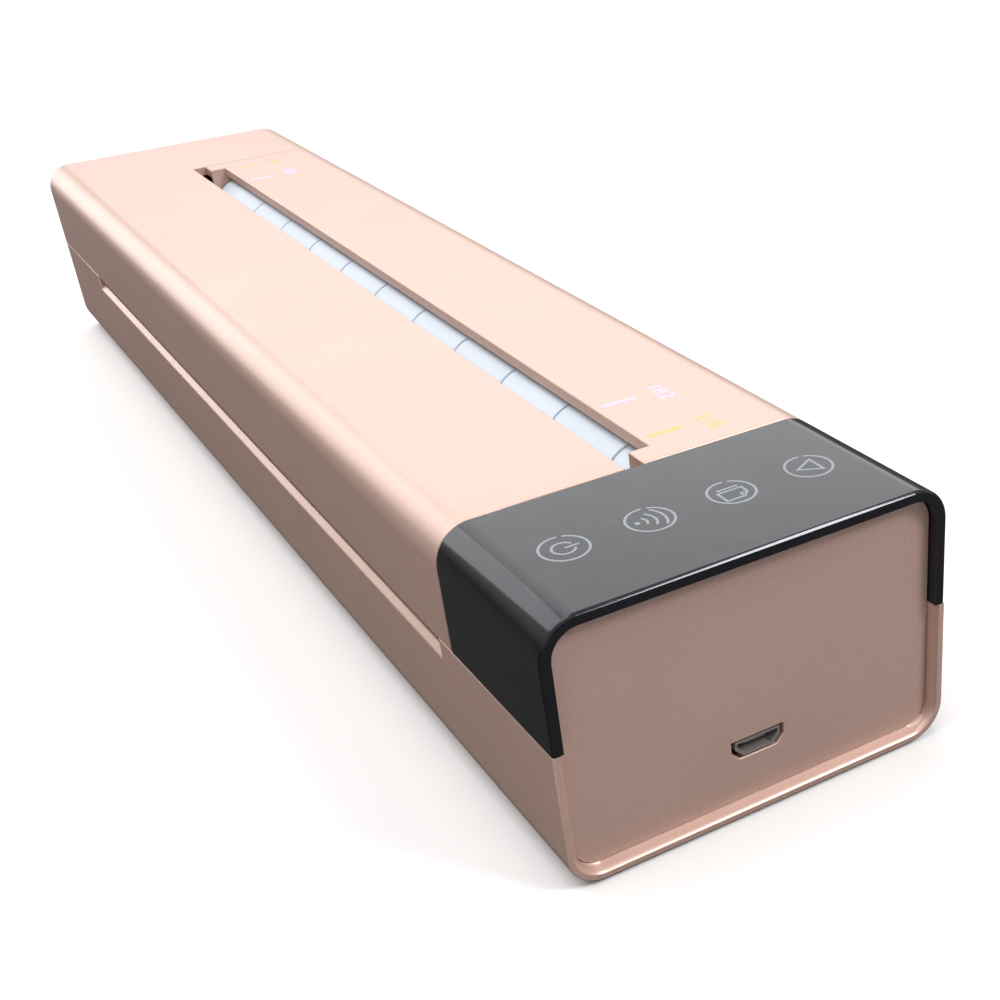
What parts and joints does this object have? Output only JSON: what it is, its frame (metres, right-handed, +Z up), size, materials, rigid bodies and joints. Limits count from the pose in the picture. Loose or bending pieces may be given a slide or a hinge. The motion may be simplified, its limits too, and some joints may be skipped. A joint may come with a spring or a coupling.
{
  "type": "thermal stencil printer",
  "caption": "Long slim thermal printer with a paper inlet along its front, a ringed platen roller in a hinged rear cover, an exit slot on top, a gloss key panel and a micro-USB inlet.",
  "frame": {"origin": "middle of the printer's footprint, on the table under its rubber feet", "axes": "+X along the printer towards the end with the keys, -Y towards the front with the paper inlet, +Z up"},
  "size_m": [0.29, 0.064, 0.0427],
  "materials": {
    "case": "fine satin, pale rose brown",
    "panel": "gloss black",
    "end_plate": "fine speckled matt, rose brown",
    "bright_steel": "plain bright steel",
    "roller": "smooth pale rubber",
    "pale_plastic": "natural acetal",
    "gear_plastic": "natural acetal",
    "brass": "plain brass",
    "sheet_steel": "zinc-plated sheet",
    "motor_can": "satin pressed steel",
    "dark_plastic": "fine matt black",
    "head_ceramic": "glazed ceramic",
    "heat_sink": "extruded aluminium",
    "board": "green solder mask",
    "battery": "shrink wrap",
    "foot_rubber": "matt rubber"
  },
  "bodies": {
    "base": {"lower_case": "case", "upper_shell": "case", "control_panel": "panel", "near_end_plate": "end_plate", "far_end_plate": "end_plate", "usb_socket": "bright_steel", "gear_axles": "bright_steel", "gear_plate": "sheet_steel", "stepper_motor": "motor_can", "near_frame": "sheet_steel", "far_frame": "sheet_steel", "hinge_pins": "bright_steel", "chassis_beam": "sheet_steel", "paper_guide": "dark_plastic", "upper_guide": "dark_plastic", "paper_sensor": "dark_plastic", "head_pivot_rod": "bright_steel", "head_springs": "bright_steel", "main_board": "board", "touch_board": "board", "board_parts": "dark_plastic", "battery_pack": "battery", "rubber_feet": "foot_rubber", "case_screws": "bright_steel", "frame_screws": "bright_steel"},
    "cover": {"top_cover": "case", "platen_bushes": "pale_plastic"},
    "platen": {"platen_roller": "roller", "platen_shaft": "bright_steel", "platen_gear": "gear_plastic"},
    "idler": {"idler_gear": "gear_plastic"},
    "compound": {"compound_gear": "gear_plastic"},
    "pinion": {"motor_pinion": "brass"},
    "print_head": {"thermal_head": "head_ceramic", "head_heatsink": "heat_sink", "head_bracket": "sheet_steel"}
  },
  "joints": [
    {"name": "cover_hinge", "type": "hinge", "parent": "base", "child": "cover", "pos_m": [0, 0.0272, 0.0255], "axis": [-1, 0, 0], "range_deg": [0, 58]},
    {"name": "platen_spin", "type": "hinge", "parent": "cover", "child": "platen", "pos_m": [0, 0.0073, 0.03375], "axis": [1, 0, 0], "continuous": true},
    {"name": "idler_spin", "type": "hinge", "parent": "base", "child": "idler", "pos_m": [-0.112, 0.00496, 0.02046], "axis": [1, 0, 0], "continuous": true},
    {"name": "compound_spin", "type": "hinge", "parent": "base", "child": "compound", "pos_m": [-0.113, 0.01397, 0.01415], "axis": [1, 0, 0], "continuous": true},
    {"name": "motor_spin", "type": "hinge", "parent": "base", "child": "pinion", "pos_m": [-0.114, 0.0101, 0.02603], "axis": [1, 0, 0], "continuous": true},
    {"name": "head_pivot", "type": "hinge", "parent": "base", "child": "print_head", "pos_m": [0, -0.0072, 0.0282], "axis": [1, 0, 0], "range_deg": [0, 3], "stiffness_Nm_per_rad": 0.5, "springref_deg": -5.73, "deforming": ["head_springs"]}
  ],
  "couplings": [
    {"joint": "idler_spin", "follows": "platen_spin", "ratio": -0.8},
    {"joint": "compound_spin", "follows": "platen_spin", "ratio": 1.7143},
    {"joint": "motor_spin", "follows": "platen_spin", "ratio": -4.4082}
  ]
}
